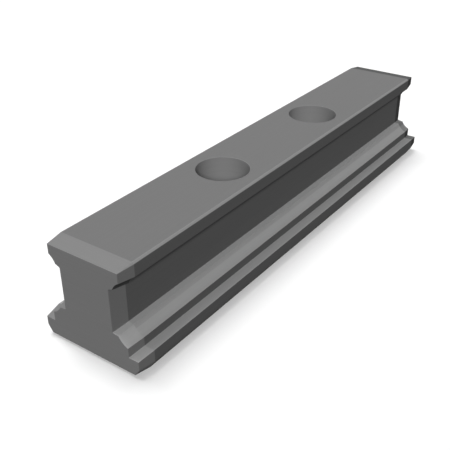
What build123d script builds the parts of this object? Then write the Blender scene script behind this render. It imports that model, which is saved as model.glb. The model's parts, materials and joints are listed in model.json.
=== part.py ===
from build123d import *
import os

# A short length of profiled linear guide rail, ground from one steel bar.
# X runs along the rail, Y across it and Z up. The origin is at the middle of the base, in millimetres.
# The rail is symmetric about the planes X = 0 and Y = 0.

# Overall sizes
RAIL_LENGTH = 99.0
RAIL_HEIGHT = 18.0
FOOT_WIDTH = 20.0
HEAD_WIDTH = 14.7
SHOULDER_WIDTH = 16.3
WEB_WIDTH = 10.6

# Heights on the section, from the base
LEDGE_HEIGHT = 3.75
SHOULDER_HEIGHT = 5.3

# Breaks on the long edges
BASE_BEVEL_WIDTH = 1.1
BASE_BEVEL_HEIGHT = 1.6
HEAD_EDGE_BREAK = 0.3

# Ball raceways: a ground arc from an outer lip to an inner lip, then a sloping relief into the web
RACEWAY_RADIUS = 2.6
LOWER_RACEWAY_ACROSS = 1.8
LOWER_RACEWAY_RISE = 1.55
LOWER_RELIEF_RISE = 0.15
HEAD_SIDE_HEIGHT = 2.4
UPPER_RACEWAY_ACROSS = 1.3
UPPER_RACEWAY_DROP = 1.5
UPPER_RELIEF_DROP = 0.3

# Lead-in taper all round at both ends
TAPER_LENGTH = 3.0
TAPER_INSET = 0.45

# Counterbored screw holes along the middle
HOLE_PITCH = 31.0
HOLE_COUNT = 2
SCREW_HOLE_DIAMETER = 6.0
COUNTERBORE_DIAMETER = 9.5
COUNTERBORE_DEPTH = 8.5

half_base = FOOT_WIDTH / 2 - BASE_BEVEL_WIDTH
half_foot = FOOT_WIDTH / 2
half_shoulder = SHOULDER_WIDTH / 2
half_web = WEB_WIDTH / 2
half_head = HEAD_WIDTH / 2

lower_outer_lip = (half_shoulder, SHOULDER_HEIGHT)
lower_inner_lip = (half_shoulder - LOWER_RACEWAY_ACROSS, SHOULDER_HEIGHT + LOWER_RACEWAY_RISE)
web_foot = (half_web, lower_inner_lip[1] + LOWER_RELIEF_RISE)
upper_outer_lip = (half_head, RAIL_HEIGHT - HEAD_SIDE_HEIGHT)
upper_inner_lip = (half_head - UPPER_RACEWAY_ACROSS, upper_outer_lip[1] - UPPER_RACEWAY_DROP)
web_head = (half_web, upper_inner_lip[1] - UPPER_RELIEF_DROP)

# The section across the rail, drawn on one side from the base round to the top and mirrored
with BuildSketch() as full_section:
    with BuildLine():
        Polyline((0, 0), (half_base, 0), (half_foot, BASE_BEVEL_HEIGHT), (half_foot, LEDGE_HEIGHT))
        Polyline((half_foot, LEDGE_HEIGHT), (half_shoulder, LEDGE_HEIGHT), lower_outer_lip)
        RadiusArc(lower_outer_lip, lower_inner_lip, RACEWAY_RADIUS)
        Polyline(lower_inner_lip, web_foot, web_head, upper_inner_lip)
        RadiusArc(upper_inner_lip, upper_outer_lip, RACEWAY_RADIUS)
        Polyline(upper_outer_lip, (half_head, RAIL_HEIGHT - HEAD_EDGE_BREAK),
                 (half_head - HEAD_EDGE_BREAK, RAIL_HEIGHT), (0, RAIL_HEIGHT))
        mirror(about=Plane.YZ)
    make_face()

# The same section with every face set in, as the taper leaves it at each end
with BuildSketch() as end_section:
    add(full_section.sketch)
    offset(amount=-TAPER_INSET, kind=Kind.INTERSECTION)

end_x = RAIL_LENGTH / 2
taper_start_x = end_x - TAPER_LENGTH

with BuildPart() as rail:
    with BuildSketch(Plane.YZ.offset(-taper_start_x)):
        add(full_section.sketch)
    extrude(amount=2 * taper_start_x)
    with BuildSketch(Plane.YZ.offset(taper_start_x)):
        add(full_section.sketch)
    with BuildSketch(Plane.YZ.offset(end_x)):
        add(end_section.sketch)
    loft(ruled=True)
    mirror(about=Plane.YZ)
    with Locations(Plane.XY.offset(RAIL_HEIGHT)):
        with GridLocations(HOLE_PITCH, 0, HOLE_COUNT, 1):
            CounterBoreHole(SCREW_HOLE_DIAMETER / 2, COUNTERBORE_DIAMETER / 2, COUNTERBORE_DEPTH)

rail.part.label = "rail"
os.makedirs("parts", exist_ok=True)
export_step(rail.part, "parts/rail.step")
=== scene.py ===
import json
import math

import bmesh
import bpy
import numpy as np
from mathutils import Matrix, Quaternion, Vector


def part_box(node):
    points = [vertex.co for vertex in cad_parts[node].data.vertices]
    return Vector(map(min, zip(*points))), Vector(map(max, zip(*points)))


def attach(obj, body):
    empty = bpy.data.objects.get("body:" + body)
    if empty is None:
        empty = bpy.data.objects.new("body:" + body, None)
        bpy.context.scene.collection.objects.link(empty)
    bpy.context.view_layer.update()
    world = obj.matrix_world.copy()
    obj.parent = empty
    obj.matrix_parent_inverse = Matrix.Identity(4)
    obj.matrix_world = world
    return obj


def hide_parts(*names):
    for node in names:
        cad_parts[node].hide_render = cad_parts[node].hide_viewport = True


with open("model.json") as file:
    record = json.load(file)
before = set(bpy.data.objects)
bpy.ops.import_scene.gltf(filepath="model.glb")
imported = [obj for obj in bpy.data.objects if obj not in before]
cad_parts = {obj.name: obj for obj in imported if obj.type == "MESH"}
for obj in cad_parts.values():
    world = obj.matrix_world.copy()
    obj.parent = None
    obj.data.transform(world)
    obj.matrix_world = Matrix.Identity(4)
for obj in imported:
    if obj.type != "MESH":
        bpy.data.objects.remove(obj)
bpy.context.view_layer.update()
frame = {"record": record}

# The rail's section
# The bar is bearing steel, drawn to a waisted shape and then ground. A broad foot carries a narrow web and
# a head, and a hollow ball raceway runs along the shoulder and under the head on each side. All values are
# in millimetres.
MM = 0.001
rail_low, rail_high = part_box("rail")
half_length = (rail_high[0] - rail_low[0]) / 2 / MM
half_foot = (rail_high[1] - rail_low[1]) / 2 / MM
rail_height = (rail_high[2] - rail_low[2]) / MM

half_head = 7.35
half_shoulder = 8.15
half_web = 5.3
ledge_height = 3.75
shoulder_height = 5.3
bevel_across = 1.1
bevel_up = 1.6
head_break = 0.3
head_side = 2.4
raceway_radius = 2.6
lower_raceway_across = 1.8
lower_raceway_rise = 1.55
lower_relief_rise = 0.15
upper_raceway_across = 1.3
upper_raceway_drop = 1.5
upper_relief_drop = 0.3

# How far each long edge is stoned back from its corner, outside and inside
outer_stoning = 0.08
inner_fillet = 0.12
shortest_share = 0.4
corner_steps = 4
raceway_steps = 18
flat_steps = 16


def flat(first, second):
    """A flat face of the section through two points, as a point on it and its outward unit normal: the step
    between the points turned a quarter turn clockwise, because the half section runs anticlockwise round
    the steel."""
    step = np.subtract(second, first)
    return np.array(first, float), np.array([step[1], -step[0]]) / np.hypot(*step)


def arc_centre(first, second, radius):
    """The centre of an arc between two lips: out from the middle of the chord, away from the steel, by the
    root of the radius squared less half the chord squared."""
    half_chord = np.hypot(*np.subtract(second, first)) / 2
    point, normal = flat(first, second)
    return np.add(first, second) / 2 + normal * math.sqrt(radius ** 2 - half_chord ** 2)


lower_outer = (half_shoulder, shoulder_height)
lower_inner = (half_shoulder - lower_raceway_across, shoulder_height + lower_raceway_rise)
web_foot = (half_web, lower_inner[1] + lower_relief_rise)
upper_outer = (half_head, rail_height - head_side)
upper_inner = (half_head - upper_raceway_across, upper_outer[1] - upper_raceway_drop)
web_head = (half_web, upper_inner[1] - upper_relief_drop)

base_face = flat((0, 0), (half_foot - bevel_across, 0))
bevel_face = flat((half_foot - bevel_across, 0), (half_foot, bevel_up))
foot_face = flat((half_foot, bevel_up), (half_foot, ledge_height))
ledge_face = flat((half_foot, ledge_height), (half_shoulder, ledge_height))
shoulder_face = flat((half_shoulder, ledge_height), lower_outer)
lower_relief = flat(lower_inner, web_foot)
web_face = flat(web_foot, web_head)
upper_relief = flat(web_head, upper_inner)
head_face = flat(upper_outer, (half_head, rail_height - head_break))
break_face = flat((half_head, rail_height - head_break), (half_head - head_break, rail_height))
top_face = flat((half_head - head_break, rail_height), (0, rail_height))
lower_centre = arc_centre(lower_outer, lower_inner, raceway_radius)
upper_centre = arc_centre(upper_inner, upper_outer, raceway_radius)


def crossing(first, second, inset):
    """The corner of two flat faces set into the steel: the point whose reach along each outward normal is
    the face's own reach less the inset, found from two linear equations."""
    normals = np.array([first[1], second[1]])
    reach = np.array([first[0] @ first[1], second[0] @ second[1]]) - inset
    return np.linalg.solve(normals, reach)


def raceway(before, centre, after, inset):
    """A raceway set into the steel: its radius grows by the inset about the same centre. Each lip is where
    the face beside it cuts the circle, on the steel's side, and the arc runs from lip to lip in even steps
    of angle."""
    radius = raceway_radius + inset
    lips = []
    for (point, normal), side in ((before, -1), (after, 1)):
        drop = (point - centre) @ normal - inset
        along = np.array([-normal[1], normal[0]])
        lips.append(normal * drop + along * side * math.sqrt(radius ** 2 - drop ** 2))
    angles = np.unwrap([math.atan2(*lip[::-1]) for lip in lips])
    turn = np.linspace(angles[0], angles[1], raceway_steps + 1)
    return centre + radius * np.stack([np.cos(turn), np.sin(turn)], axis=1)


def section(inset):
    """The closed section in (across, up) points, with every face set into the steel by the inset. Each sharp
    corner becomes a small curve: squares and products of a share from 0 to 1 blend from a point just before
    the corner, by way of it, to a point just after it. The half section is mirrored, and the top and base
    flats are divided evenly so that the screw holes' surrounds fit between them."""
    base_and_foot = [crossing(base_face, bevel_face, inset), crossing(bevel_face, foot_face, inset),
                     crossing(foot_face, ledge_face, inset), crossing(ledge_face, shoulder_face, inset)]
    lower = raceway(shoulder_face, lower_centre, lower_relief, inset)
    web = [crossing(lower_relief, web_face, inset), crossing(web_face, upper_relief, inset)]
    upper = raceway(upper_relief, upper_centre, head_face, inset)
    head = [crossing(head_face, break_face, inset), crossing(break_face, top_face, inset)]
    corners = np.vstack([base_and_foot, lower, web, upper, head])
    lips_only = [[1], np.zeros(raceway_steps - 1), [1]]
    sharp = np.concatenate([np.ones(len(base_and_foot)), *lips_only, np.ones(len(web)), *lips_only,
                            np.ones(len(head))]).astype(bool)
    before = np.vstack([[0, corners[0, 1]], corners[:-1]]) - corners
    after = np.vstack([corners[1:], [0, corners[-1, 1]]]) - corners
    before_length = np.hypot(before[:, 0], before[:, 1])
    after_length = np.hypot(after[:, 0], after[:, 1])
    hollow = before[:, 0] * after[:, 1] - before[:, 1] * after[:, 0] > 0
    setback = np.minimum(np.where(hollow, inner_fillet, outer_stoning),
                         shortest_share * np.minimum(before_length, after_length))[:, None]
    start = (corners + before / before_length[:, None] * setback)[:, None]
    end = (corners + after / after_length[:, None] * setback)[:, None]
    share = np.linspace(0, 1, corner_steps + 1)[None, :, None]
    curves = (1 - share) ** 2 * start + 2 * share * (1 - share) * corners[:, None] + share ** 2 * end
    curves = np.where(sharp[:, None, None], curves, corners[:, None])
    half = curves[sharp[:, None] | (np.arange(corner_steps + 1) == 0)]
    mirrored = half[::-1] * [-1, 1]
    across = np.linspace(half[-1, 0], -half[-1, 0], flat_steps + 1)
    top = np.stack([across[1:-1], np.full(flat_steps - 1, half[-1, 1])], axis=1)
    base = np.stack([-across, np.full(flat_steps + 1, half[0, 1])], axis=1)
    return np.vstack([half, top, mirrored, base]), len(half)


# The bar with its tapered ends
# The section runs straight along the bar. Over the last few millimetres at both ends a grinding pass has
# set every face in a little, the base too, so that a carriage slides on easily. The cut ends have a finely
# stoned edge.
taper_length = 3.0
taper_inset = 0.45
end_stoning = 0.05
end_steps = 3
taper_steps = 3
plain_steps = 6
between_steps = 4

bores = {mount["name"]: mount for mount in frame["record"]["mounts"] if mount["kind"] == "bore"}
hole_places = sorted(mount["pos_m"][0] / MM for name, mount in bores.items()
                     if name.startswith("counterbore"))
full_ring, half_count = section(0)
surround = full_ring[half_count - 1, 0]

taper_start = half_length - taper_length
quarter = np.linspace(0, math.pi / 2, end_steps + 1)
plain = np.linspace(hole_places[1] + surround, taper_start, plain_steps + 1)[1:]
tapered = np.linspace(taper_start, half_length - end_stoning, taper_steps + 1)[1:-1]
rounded = half_length - end_stoning * (1 - np.sin(quarter))
beside_far_hole = hole_places[1] + np.linspace(-surround, surround, flat_steps + 1)
positive = np.concatenate([beside_far_hole, plain, tapered, rounded])
between = np.linspace(-positive[0], positive[0], between_steps + 1)[1:-1]
stations = np.concatenate([-positive[::-1], between, positive])

insets = taper_inset * np.clip(np.abs(stations) - taper_start, 0, None) / taper_length
insets[-end_steps - 1:] += end_stoning * (1 - np.cos(quarter))
insets[:end_steps + 1] += end_stoning * (1 - np.cos(quarter))[::-1]
rings = np.stack([section(inset)[0] for inset in insets])
ring_size = rings.shape[1]
ring_place = np.broadcast_to(stations[:, None, None], rings.shape[:2] + (1,))
bar_points = np.concatenate([ring_place, rings], axis=2)

row, column = np.meshgrid(np.arange(len(stations) - 1), np.arange(ring_size), indexing="ij")
onward = (column + 1) % ring_size
bar_quads = np.stack([row * ring_size + column, row * ring_size + onward,
                      (row + 1) * ring_size + onward, (row + 1) * ring_size + column], axis=2)
on_top = (column >= half_count - 1) & (column < half_count - 1 + flat_steps)
base_first = ring_size - flat_steps - 1
on_base = (column >= base_first) & (column < base_first + flat_steps)
middle = (stations[:-1] + stations[1:]) / 2
beside_hole = np.min(np.abs(middle[:, None] - hole_places), axis=1) < surround
skin_kept = ~((on_top | on_base) & beside_hole[:, None])
bar_quads = bar_quads[skin_kept]

# The screw holes
# Each is drilled through and counterbored from the top, so that the head of a cap screw sits below the top
# face. The mouths have a small deburred edge, and the corner of the counterbore's floor keeps the tool's
# round.
rim_break = 0.08
floor_round = 0.25
turn_steps = 4 * flat_steps
blend_steps = 4
rim_steps = 3
round_steps = 5

counterbore = bores["counterbore_near"]["dims"]
screw_hole = bores["screw_hole_near"]["dims"]
counterbore_radius = counterbore["r_mm"]
screw_radius = screw_hole["r_mm"]
floor_height = rail_height - counterbore["length_mm"]

turn = np.arange(turn_steps)
side_share = (turn % flat_steps) / flat_steps * 2 - 1
side_angle = turn // flat_steps * (math.pi / 2)
# The square's first point is its corner an eighth of a turn back, so the circle starts there too
square = surround * np.stack([np.cos(side_angle) - side_share * np.sin(side_angle),
                              np.sin(side_angle) + side_share * np.cos(side_angle)], axis=1)
circle_angle = (turn / turn_steps * 2 - 0.25) * math.pi
circle = np.stack([np.cos(circle_angle), np.sin(circle_angle)], axis=1)


def eased(first, second, steps):
    """A quarter round between two (radius, height) points, drawn as a blend of two straight shares: one
    follows the sine of the angle and the other one less its cosine."""
    angle = np.linspace(0, math.pi / 2, steps + 1)
    return np.stack([first[0] + (second[0] - first[0]) * np.sin(angle),
                     first[1] + (second[1] - first[1]) * (1 - np.cos(angle))], axis=1)


hole_profile = np.vstack([
    eased((counterbore_radius + rim_break, rail_height), (counterbore_radius, rail_height - rim_break),
          rim_steps),
    eased((counterbore_radius, floor_height + floor_round),
          (counterbore_radius - floor_round, floor_height), round_steps),
    eased((screw_radius + rim_break, floor_height), (screw_radius, floor_height - rim_break), rim_steps),
    eased((screw_radius, rim_break), (screw_radius + rim_break, 0), rim_steps),
])


def hole(place):
    """The skin of one screw hole with its surrounds: circles of the profile's radii and heights stacked
    about the hole's axis, between two flat webs whose points move from a square in the bar's flat to the
    rim in even shares."""
    share = np.linspace(0, 1, blend_steps + 1)[:-1, None, None]
    webs = square * (1 - share) + circle * share * hole_profile[0, 0]
    top = np.concatenate([webs, np.full(webs.shape[:2] + (1,), rail_height)], axis=2)
    webs = square * (1 - share[::-1]) + circle * share[::-1] * hole_profile[-1, 0]
    base = np.concatenate([webs, np.zeros(webs.shape[:2] + (1,))], axis=2)
    heights = np.broadcast_to(hole_profile[:, 1:, None], (len(hole_profile), turn_steps, 1))
    wall = np.concatenate([hole_profile[:, :1, None] * circle, heights], axis=2)
    return np.concatenate([top, wall, base]) + [place, 0, 0]


hole_rows = 2 * blend_steps + len(hole_profile)
row, column = np.meshgrid(np.arange(hole_rows - 1), np.arange(turn_steps), indexing="ij")
onward = (column + 1) % turn_steps
hole_quads = np.stack([row * turn_steps + column, row * turn_steps + onward,
                       (row + 1) * turn_steps + onward, (row + 1) * turn_steps + column], axis=2)
bored = ((row >= blend_steps) & (row < hole_rows - 1 - blend_steps)).ravel()
hole_quads = hole_quads.reshape(-1, 4)
hole_skins = [hole(place).reshape(-1, 3) for place in hole_places]

# The greys of the steel, with painted light and shade
# The top and the base have one plain grey. The sides and the underside of the head are painted darker, as
# shade, and the ledges, the head's edge and the lower raceways lighter, as light and sheen. The near taper
# faces the light and is painted lighter still, and the far one faces away and is painted darker, as shade.
# The ends are cut, and the holes drilled; their walls are painted a little lighter, against the shade in
# them.
raceway_inner_band = 0.6
level_drop = 0.001
roughness_spread = 0.05
tint_spread = 0.05
marks_detail = 3.0
marks_strength = 0.4

(top_ground, painted_shade, ledge_painted_light, edge_painted_light, raceway_painted_sheen,
 taper_top_painted_light, taper_side_painted_light, deep_painted_shade, end_cut, hole_painted_light) = range(10)
level_strip, side_strip, ledge_strip, edge_strip, raceway_strip, under_head_strip = range(6)

strip_step = np.roll(full_ring, -1, axis=0) - full_ring
strip_height = full_ring[:, 1] + strip_step[:, 1] / 2
upright = np.abs(strip_step[:, 1]) > np.abs(strip_step[:, 0])
on_raceway = (strip_height > lower_outer[1]) & (strip_height < web_foot[1])
# The raceways' inner band gets the ledges' grey instead of the brighter painted sheen, so the raceway is
# painted darker towards the web
raceway_inside = (strip_height > lower_inner[1] - raceway_inner_band) & (strip_height < lower_inner[1])
on_ledge = (strip_height > bevel_up) & (strip_height < shoulder_height) & ~upright
on_head_edge = (strip_height > rail_height - head_break) & (np.abs(strip_step[:, 1]) > level_drop)
under_head = (strip_height > web_head[1]) & (strip_height < upper_outer[1])
strip_kind = np.select([raceway_inside | on_ledge, on_raceway, on_head_edge, under_head, upright],
                       [ledge_strip, raceway_strip, edge_strip, under_head_strip, side_strip], level_strip)

# One row for the near taper, the straight and the far taper, with the grey of each kind of strip in turn,
# painted light and shade among them
kind_paint = np.array([
    # Near taper: it faces the light, so its top, edge and sides are painted lighter, and under the head
    # darkest, as shade
    [taper_top_painted_light, taper_side_painted_light, raceway_painted_sheen, taper_top_painted_light, raceway_painted_sheen, deep_painted_shade],
    # Straight: the sides and the underside of the head painted darker as shade, the ledges, edge and
    # raceways lighter as light and sheen
    [top_ground, painted_shade, ledge_painted_light, edge_painted_light, raceway_painted_sheen, painted_shade],
    # Far taper: it faces away from the light, so each strip is painted a step darker, as shade
    [painted_shade, deep_painted_shade, top_ground, painted_shade, edge_painted_light, deep_painted_shade],
])
bar_paint = kind_paint[np.digitize(middle, [-taper_start, taper_start])][:, strip_kind]

# Painted shade: the near taper's left ledge and raceway get only the grey of its top, which takes away the
# extra light that they catch on the left side
left_side = full_ring[:, 0] + strip_step[:, 0] / 2 > 0
left_flats = left_side & np.isin(strip_kind, [ledge_strip, raceway_strip])
bar_paint[np.ix_(middle < -taper_start, left_flats)] = taper_top_painted_light


def steel(name, grey, gloss, roughness, marks, depth):
    """Dull steel with fine tool marks: stretched noise, whose repeats per metre along each axis are the
    marks' three numbers, moves the roughness a little up and down, shades the grey and sets a low bump."""
    material = bpy.data.materials.new(name)
    material.use_nodes = True
    nodes, links = material.node_tree.nodes, material.node_tree.links
    shader = nodes["Principled BSDF"]
    shader.inputs["Metallic"].default_value = 0.0
    shader.inputs["Specular IOR Level"].default_value = gloss
    place = nodes.new("ShaderNodeTexCoord")
    stretch = nodes.new("ShaderNodeMapping")
    stretch.inputs["Scale"].default_value = marks
    links.new(place.outputs["Object"], stretch.inputs["Vector"])
    fine = nodes.new("ShaderNodeTexNoise")
    fine.inputs["Scale"].default_value = 1.0
    fine.inputs["Detail"].default_value = marks_detail
    links.new(stretch.outputs["Vector"], fine.inputs["Vector"])
    rough = nodes.new("ShaderNodeMapRange")
    rough.inputs["To Min"].default_value = roughness - roughness_spread
    rough.inputs["To Max"].default_value = roughness + roughness_spread
    links.new(fine.outputs["Fac"], rough.inputs["Value"])
    links.new(rough.outputs["Result"], shader.inputs["Roughness"])
    tint = nodes.new("ShaderNodeMix")
    tint.data_type = "RGBA"
    tint.inputs["A"].default_value = (*[grey * (1 - tint_spread)] * 3, 1)
    tint.inputs["B"].default_value = (*[grey * (1 + tint_spread)] * 3, 1)
    links.new(fine.outputs["Fac"], tint.inputs["Factor"])
    links.new(tint.outputs["Result"], shader.inputs["Base Color"])
    bump = nodes.new("ShaderNodeBump")
    bump.inputs["Strength"].default_value = marks_strength
    bump.inputs["Distance"].default_value = depth
    links.new(fine.outputs["Fac"], bump.inputs["Height"])
    links.new(bump.outputs["Normal"], shader.inputs["Normal"])
    return material


# The finished rail
# The skin of the bar, its two cut ends and the walls of the holes are one piece of steel, so they are
# joined into one closed surface, which stands for the solid rail. Tool marks run along the bar, across its
# ends and round the holes.
weld_distance = 0.0005
crease_reach = 0.001

bar_count = bar_points.shape[0] * ring_size
skin_count = len(hole_skins[0])
points = np.vstack([bar_points.reshape(-1, 3)] + hole_skins) * MM
hole_starts = [bar_count + skin_count * number for number in range(len(hole_places))]
quads = np.vstack([bar_quads] + [hole_quads + start for start in hole_starts])
last_ring = bar_count - ring_size
ends = [list(range(ring_size))[::-1], list(range(last_ring, bar_count))]
rail_mesh = bpy.data.meshes.new("ground_rail")
rail_mesh.from_pydata(points.tolist(), [], quads.tolist() + ends)
# The bored walls are painted a little lighter than the top, against the shade down in the holes
hole_paint = np.where(bored, hole_painted_light, top_ground)
paint_index = np.concatenate([bar_paint[skin_kept]] + [hole_paint] * len(hole_places)
                              + [[end_cut, end_cut]])
rail_mesh.polygons.foreach_set("material_index", paint_index.astype(np.int32))
rail_mesh.polygons.foreach_set("use_smooth", np.ones(len(rail_mesh.polygons), bool))
# Name, grey, gloss, roughness, marks a metre along each axis and their depth in metres, in the order in
# which the greys, painted light and shade among them, are numbered
for paint_row in (
        ("ground_steel", 0.183, 0.02, 0.75, (40, 4000, 4000), 0.000004),
        # Painted shade on the sides, under the head, and on the far taper's top and edge
        ("drawn_steel", 0.113, 0.004, 0.85, (30, 2000, 2000), 0.000006),
        # Painted light on the ledges and the raceways' inner band, lifting them out of the head's shadow
        ("ledge_steel", 0.315, 0.02, 0.75, (30, 3000, 3000), 0.000004),
        # Painted highlight on the head's edge break, and a dimmer painted sheen on the far taper's raceways
        ("edge_steel", 0.248, 0.02, 0.75, (30, 3000, 3000), 0.000004),
        # Painted sheen on the lower raceways, above their own gloss
        ("raceway_steel", 0.35, 0.04, 0.65, (30, 6000, 6000), 0.000002),
        # Painted light on the near taper, which faces the light
        ("taper_top_steel", 0.222, 0.02, 0.75, (4000, 40, 4000), 0.000004),
        ("taper_side_steel", 0.153, 0.02, 0.75, (4000, 40, 4000), 0.000004),
        # Painted deep shade under the head at the near taper, and on the far taper's sides and under its
        # head
        ("heat_dark_steel", 0.06, 0.004, 0.85, (4000, 40, 4000), 0.000004),
        ("cut_steel", 0.192, 0.02, 0.75, (1000, 40, 4000), 0.000004),
        # Painted light on the hole walls, against the shade inside them; the marks run round the holes
        ("drilled_steel", 0.22, 0.02, 0.75, (60, 60, 5000), 0.000004)):
    rail_mesh.materials.append(steel(*paint_row))
skin = bmesh.new()
skin.from_mesh(rail_mesh)
bmesh.ops.remove_doubles(skin, verts=skin.verts, dist=weld_distance * MM)
skin.to_mesh(rail_mesh)
skin.free()

# The taper's first line is a crisp change of slope
place = np.zeros(len(rail_mesh.vertices) * 3)
rail_mesh.vertices.foreach_get("co", place)
pair = np.zeros(len(rail_mesh.edges) * 2, np.int32)
rail_mesh.edges.foreach_get("vertices", pair)
from_crease = np.abs(np.abs(place.reshape(-1, 3)[pair.reshape(-1, 2), 0]) - taper_start * MM)
crease = np.all(from_crease < crease_reach * MM, axis=1)
rail_mesh.attributes.new("sharp_edge", "BOOLEAN", "EDGE").data.foreach_set("value", crease)

ground_rail = bpy.data.objects.new("ground_rail", rail_mesh)
bpy.context.scene.collection.objects.link(ground_rail)
flat_faces = ground_rail.modifiers.new("flat_faces", "WEIGHTED_NORMAL")
flat_faces.keep_sharp = True
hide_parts("rail")
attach(ground_rail, "root")

# The floor
# A plain pale studio floor. The camera and mirror rays see it white apart from the rail's soft shadow, and
# it throws little light back at the rail.
floor_reach = 3.0
floor_glow = 0.02
floor_white = 0.99
floor_bounce = 0.1

floor_mesh = bpy.data.meshes.new("floor")
floor_mesh.from_pydata([(-floor_reach, -floor_reach, 0), (floor_reach, -floor_reach, 0),
                        (floor_reach, floor_reach, 0), (-floor_reach, floor_reach, 0)], [], [(0, 1, 2, 3)])
floor = bpy.data.objects.new("floor", floor_mesh)
bpy.context.scene.collection.objects.link(floor)


def seen_rays(nodes, links):
    """Node output that is 1 for camera, mirror and glass rays and 0 for the rest: the largest of the
    three."""
    path = nodes.new("ShaderNodeLightPath")
    first = nodes.new("ShaderNodeMath")
    first.operation = "MAXIMUM"
    links.new(path.outputs["Is Camera Ray"], first.inputs[0])
    links.new(path.outputs["Is Glossy Ray"], first.inputs[1])
    second = nodes.new("ShaderNodeMath")
    second.operation = "MAXIMUM"
    links.new(first.outputs["Value"], second.inputs[0])
    links.new(path.outputs["Is Transmission Ray"], second.inputs[1])
    return second.outputs["Value"]


floor_paint = bpy.data.materials.new("floor_paint")
floor_paint.use_nodes = True
floor_paint.cycles.emission_sampling = "NONE"
nodes, links = floor_paint.node_tree.nodes, floor_paint.node_tree.links
nodes.remove(nodes["Principled BSDF"])
dull = nodes.new("ShaderNodeBsdfDiffuse")
dull.inputs["Color"].default_value = (floor_bounce, floor_bounce, floor_bounce, 1)
bright = nodes.new("ShaderNodeBsdfDiffuse")
bright.inputs["Color"].default_value = (floor_white, floor_white, floor_white, 1)
glow = nodes.new("ShaderNodeEmission")
glow.inputs["Strength"].default_value = floor_glow
white = nodes.new("ShaderNodeAddShader")
links.new(bright.outputs["BSDF"], white.inputs[0])
links.new(glow.outputs["Emission"], white.inputs[1])
choice = nodes.new("ShaderNodeMixShader")
links.new(seen_rays(nodes, links), choice.inputs["Fac"])
links.new(dull.outputs["BSDF"], choice.inputs[1])
links.new(white.outputs["Shader"], choice.inputs[2])
links.new(choice.outputs["Shader"], nodes["Material Output"].inputs["Surface"])
floor_mesh.materials.append(floor_paint)

# The light
# One soft lamp stands over the near right corner. A broad one straight above and one high behind the left
# side lay the soft shadow along the base, and two low ones keep the left side and the far end out of the
# dark. The room gives a low even light, and is white where it is seen.
room_level = 0.03
lamp_distance = 0.3

# The direction towards each lamp, its strength, and its width in degrees
lamps = {
    "near_corner_lamp": ((-0.725, -0.489, 0.484), 2.69, 14),
    "top_lamp": ((0.0, 0.0, 1.0), 0.36, 40),
    "high_back_lamp": ((0.091, 0.264, 0.96), 1.42, 25),
    "left_lamp": ((0.0, 0.98, 0.2), 0.9, 30),
    "far_end_lamp": ((0.98, 0.0, 0.2), 0.8, 30),
}
for name, (toward, strength, width) in lamps.items():
    lamp = bpy.data.lights.new(name, "SUN")
    lamp.energy = strength
    lamp.angle = math.radians(width)
    holder = bpy.data.objects.new(name, lamp)
    holder.location = Vector(toward) * lamp_distance
    holder.rotation_mode = "QUATERNION"
    holder.rotation_quaternion = Vector(toward).to_track_quat("Z", "Y")
    bpy.context.scene.collection.objects.link(holder)

room = bpy.data.worlds.new("room")
room.use_nodes = True
bpy.context.scene.world = room
nodes, links = room.node_tree.nodes, room.node_tree.links
level = nodes.new("ShaderNodeMapRange")
level.inputs["To Min"].default_value = room_level
level.inputs["To Max"].default_value = 1.0
links.new(seen_rays(nodes, links), level.inputs["Value"])
links.new(level.outputs["Result"], nodes["Background"].inputs["Strength"])
nodes["Background"].inputs["Color"].default_value = (1, 1, 1, 1)

# The camera
# It looks down along the rail from beyond the near end, on the right, with a slight roll. Its place, target
# and lens were fitted to the edges in the photo, and are in millimetres.
camera_place = Vector((-106.32, -66.37, 72.21)) * MM
camera_target = Vector((-18.23, -2.37, 8.81)) * MM
camera_roll = math.radians(-0.54)
sensor_width = 36.0
lens_length = 57.66
nearest_seen = 0.005
farthest_seen = 20

camera = bpy.data.cameras.new("camera")
camera.sensor_width = sensor_width
camera.lens = lens_length
camera.clip_start = nearest_seen
camera.clip_end = farthest_seen
camera_holder = bpy.data.objects.new("camera", camera)
camera_holder.location = camera_place
camera_holder.rotation_mode = "QUATERNION"
aim = (camera_target - camera_place).to_track_quat("-Z", "Y")
camera_holder.rotation_quaternion = aim @ Quaternion((0, 0, 1), camera_roll)
bpy.context.scene.collection.objects.link(camera_holder)
bpy.context.scene.camera = camera_holder
bpy.context.scene.view_settings.view_transform = "Standard"
